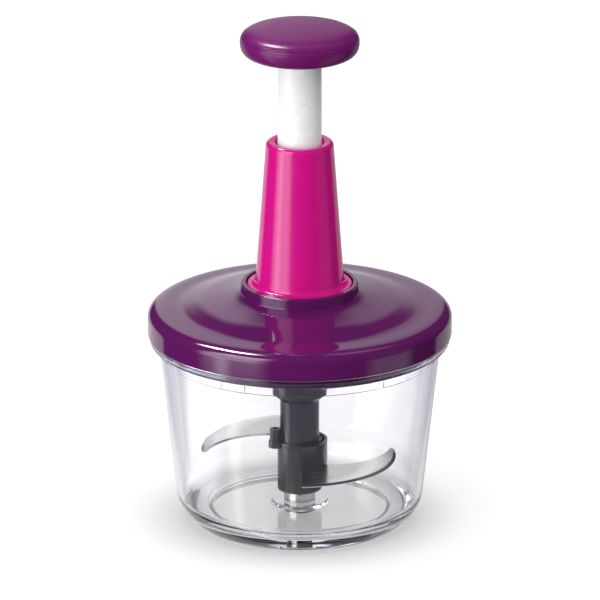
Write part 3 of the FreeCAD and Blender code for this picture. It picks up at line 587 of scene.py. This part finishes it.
def floor():
    """Pale sweep with a painted glow under the bowl and a painted contact shadow where the object
    meets it.

    Seen through the bowl it has dark flags beside and before the object, and reflections show
    a bright card on its left.
    """
    mesh = bpy.data.meshes.new("floor")
    shape = bmesh.new()
    bmesh.ops.create_circle(shape, cap_ends=True, segments=FLOOR_CORNERS, radius=FLOOR_RADIUS)
    shape.to_mesh(mesh)
    shape.free()
    ground = bpy.data.objects.new("floor", mesh)
    bpy.context.scene.collection.objects.link(ground)
    material, tree, shader, where = new_material("pale_floor", FLOOR_COLOR, Roughness=0.6,
                                                 Specular_IOR_Level=0.0)
    right, back, _ = put(tree, "SeparateXYZ", Vector=where).outputs
    reach = put(tree, "VectorMath", {"operation": "LENGTH"}, Vector=where).outputs["Value"]
    turn = maths(tree, "ARCTAN2", right, maths(tree, "MULTIPLY", back, -1.0))
    path = put(tree, "LightPath").outputs
    beside = span(tree, maths(tree, "ABSOLUTE", right), *FLAG_BESIDE, smooth=True)
    before = span(tree, back, *FLAG_BEFORE, 1.0, 0.0, smooth=True)
    flagged = mix(tree, path["Is Camera Ray"], maths(tree, "MAXIMUM", beside, before), 0.0)
    # Painted shadow: the floor darkens near the object's foot
    painted_shadow = span(tree, reach, *PAINTED_SHADOW_REACH, PAINTED_SHADOW_SHADE, 1.0, smooth=True)
    color = dimmed(tree, tint(tree, flagged, FLOOR_COLOR, FLAG_COLOR), painted_shadow)
    card = product_of(tree, window(tree, turn, *CARD_TURN, CARD_SOFT),
                      span(tree, reach, *CARD_REACH, 0.0, CARD, smooth=True),
                      span(tree, path["Glossy Depth"], 0.0, 1.0))
    # Painted pool of light under the bowl
    under = span(tree, reach, *PAINTED_GLOW_REACH, PAINTED_GLOW, 0.0, smooth=True)
    feed(tree, shader, {"Base Color": color, "Emission Color": color,
                        "Emission Strength": total_of(tree, FLOOR_GLOW, card, under)})
    mesh.materials.append(material)
    ground.visible_glossy = False
    ground.visible_diffuse = False


floor()


# Studio

# Directions are in radians: turn is 0 toward the camera and below 0 on its left, rise is 0 level.
# A pair of them is where a light starts and ends, or where it fades.
ROOM = 0.03
SWEEP_SIDES = (2.2, 2.94)
SWEEP_SIDES_RISE = (-0.12, 0.1)
SWEEP_SIDE_SOFT = 0.04
SWEEP_TOP_RISE = (0.56, 0.72)
SWEEP_LEFT = 0.9
SWEEP_RIGHT = 0.5
SWEEP_MIDDLE = 0.15
SWEEP_INSIDE = 1.4
SOFTBOX_TURN = (-1.36, -0.5)
SOFTBOX_RISE = (-0.7, 1.0)
SOFTBOX_SOFT_SIDE = 0.14
SOFTBOX_SOFT_END = 0.1
SOFTBOX_FOOT_RISE = (-0.37, -0.13)
SOFTBOX_HEAD_RISE = (0.2, 0.75)
SOFTBOX_FOOT = 0.75
SOFTBOX_LOW = 3.6
SOFTBOX_HIGH = 6.0
HEART_TURN = (-1.16, -0.98)
HEART_SOFT = 0.1
HEART_RISE = (-0.2, 0.0)
HEART = 2.4
PANEL_TURN = (0.95, 1.6)
PANEL_SOFT = 0.12
PANEL_FOOT_RISE = (-0.33, -0.18)
PANEL_HEAD_RISE = (0.5, 0.9)
PANEL_FOOT = 0.7
PANEL = 0.12
HAIR_TURN = (-2.66, -2.40)
HAIR_RISE = (0.90, 1.18)
HAIR_SOFT = 0.08
HAIR = 75.0
STRIP_SIDES = (2.3, 2.6)
STRIP_TURN = (2.5, 2.9)
STRIP_SOFT = 0.1
STRIP = 0.4
CEILING_RISE = (0.37, 0.67)
CEILING_LEFT = 1.3
CEILING_RIGHT = 1.1
CEILING_MIDDLE = 0.6
KEY_TURN = (-1.25, -0.3)
KEY_RISE = (-0.4, 0.35)
KEY_SOFT_SIDE = 0.2
KEY_SOFT_END = 0.1
KEY = 3.55
FILL = 0.32


def sweep_light(tree, side, rise, right, inside):
    """Paper behind the object, brighter on the left and as seen from inside the clear walls."""
    start = span(tree, rise, *SWEEP_SIDES_RISE, *SWEEP_SIDES)
    return product_of(
        tree,
        span(tree, maths(tree, "SUBTRACT", side, start), -SWEEP_SIDE_SOFT, SWEEP_SIDE_SOFT,
             smooth=True),
        span(tree, rise, *SWEEP_TOP_RISE, 1.0, 0.0, smooth=True),
        span(tree, right, -SWEEP_MIDDLE, SWEEP_MIDDLE, SWEEP_LEFT, SWEEP_RIGHT, smooth=True),
        span(tree, inside, 0.0, 1.0, 1.0, SWEEP_INSIDE))


def softbox_light(tree, turn, rise):
    """Tall softbox on the left, brighter toward its top, with a bright heart low in it."""
    low = span(tree, rise, *SOFTBOX_FOOT_RISE, SOFTBOX_FOOT, SOFTBOX_LOW, smooth=True)
    high = span(tree, rise, *SOFTBOX_HEAD_RISE, 0.0, SOFTBOX_HIGH - SOFTBOX_LOW, smooth=True)
    box = product_of(tree, window(tree, turn, *SOFTBOX_TURN, SOFTBOX_SOFT_SIDE),
                     window(tree, rise, *SOFTBOX_RISE, SOFTBOX_SOFT_END),
                     maths(tree, "ADD", low, high))
    heart = product_of(tree, window(tree, turn, *HEART_TURN, HEART_SOFT),
                       span(tree, rise, *HEART_RISE, HEART, 0.0, smooth=True))
    return maths(tree, "ADD", box, heart)


def panel_light(tree, turn, rise):
    """Faint panel on the right, with a brighter foot."""
    return product_of(tree, window(tree, turn, *PANEL_TURN, PANEL_SOFT),
                      span(tree, rise, *PANEL_FOOT_RISE, PANEL_FOOT, PANEL, smooth=True),
                      span(tree, rise, *PANEL_HEAD_RISE, 1.0, 0.0, smooth=True))


def hair_light(tree, turn, side, rise):
    """Small lamp high behind on the left, in a faint strip that is brighter on the right."""
    lamp = maths(tree, "MULTIPLY", window(tree, turn, *HAIR_TURN, HAIR_SOFT), HAIR)
    faint = maths(tree, "MULTIPLY", window(tree, turn, *STRIP_TURN, STRIP_SOFT), STRIP)
    strip = total_of(tree, lamp, span(tree, side, *STRIP_SIDES, 0.0, STRIP), faint)
    return maths(tree, "MULTIPLY", strip, window(tree, rise, *HAIR_RISE, HAIR_SOFT))


def mirrored_studio(tree, turn, rise, right, inside):
    """What polished faces mirror."""
    side = maths(tree, "ABSOLUTE", turn)
    return total_of(tree, ROOM, sweep_light(tree, side, rise, right, inside),
                    softbox_light(tree, turn, rise), panel_light(tree, turn, rise),
                    hair_light(tree, turn, side, rise))


def scattered_studio(tree, turn, rise, right):
    """What matt faces gather: a wide ceiling, a low key light on the left and some fill."""
    ceiling = product_of(tree, span(tree, rise, *CEILING_RISE, smooth=True),
                         span(tree, right, -CEILING_MIDDLE, CEILING_MIDDLE, CEILING_LEFT,
                              CEILING_RIGHT))
    key = product_of(tree, window(tree, turn, *KEY_TURN, KEY_SOFT_SIDE),
                     window(tree, rise, *KEY_RISE, KEY_SOFT_END), KEY)
    return total_of(tree, FILL, ceiling, key)


def studio_world():
    """Lights matt faces with one set of lights, and shows another in polished and clear ones."""
    world = bpy.data.worlds.new("studio")
    world.use_nodes = True
    world.cycles.sampling_method = "NONE"
    bpy.context.scene.world = world
    tree = world.node_tree
    toward = put(tree, "SeparateXYZ", Vector=put(tree, "TexCoord").outputs["Generated"])
    right, back, up = toward.outputs
    rise = maths(tree, "ARCSINE", up)
    turn = maths(tree, "ARCTAN2", right, maths(tree, "MULTIPLY", back, -1.0))
    path = put(tree, "LightPath").outputs
    scattered = maths(tree, "GREATER_THAN", path["Diffuse Depth"], 0.5)
    inside = maths(tree, "GREATER_THAN", path["Transmission Depth"], 0.5)
    light = mix(tree, scattered, mirrored_studio(tree, turn, rise, right, inside),
                scattered_studio(tree, turn, rise, right))
    feed(tree, tree.nodes["Background"], {"Color": WHITE, "Strength": light})


studio_world()


# Camera, whose frame is as wide as the photograph at the object's distance

PHOTO_WIDTH = 600
PIXELS_PER_MM = 1.91
CAMERA_DISTANCE = 5.5
CAMERA_RISE = math.radians(18.9)
CAMERA_AIM = Vector((0.00016, 0.0, 0.1196))
SENSOR_WIDTH = 36.0

camera_data = bpy.data.cameras.new("camera")
camera_data.sensor_width = SENSOR_WIDTH
camera_data.lens = SENSOR_WIDTH * CAMERA_DISTANCE / (PHOTO_WIDTH / PIXELS_PER_MM * MM)
camera = bpy.data.objects.new("camera", camera_data)
camera.location = CAMERA_AIM + CAMERA_DISTANCE * Vector(
    (0.0, -math.cos(CAMERA_RISE), math.sin(CAMERA_RISE)))
camera.rotation_euler = (CAMERA_AIM - camera.location).to_track_quat("-Z", "Y").to_euler()

scene = bpy.context.scene
scene.collection.objects.link(camera)
scene.camera = camera
scene.view_settings.view_transform = "Standard"
scene.cycles.max_bounces = 24
scene.cycles.transmission_bounces = 20
scene.cycles.transparent_max_bounces = 16
scene.cycles.glossy_bounces = 8
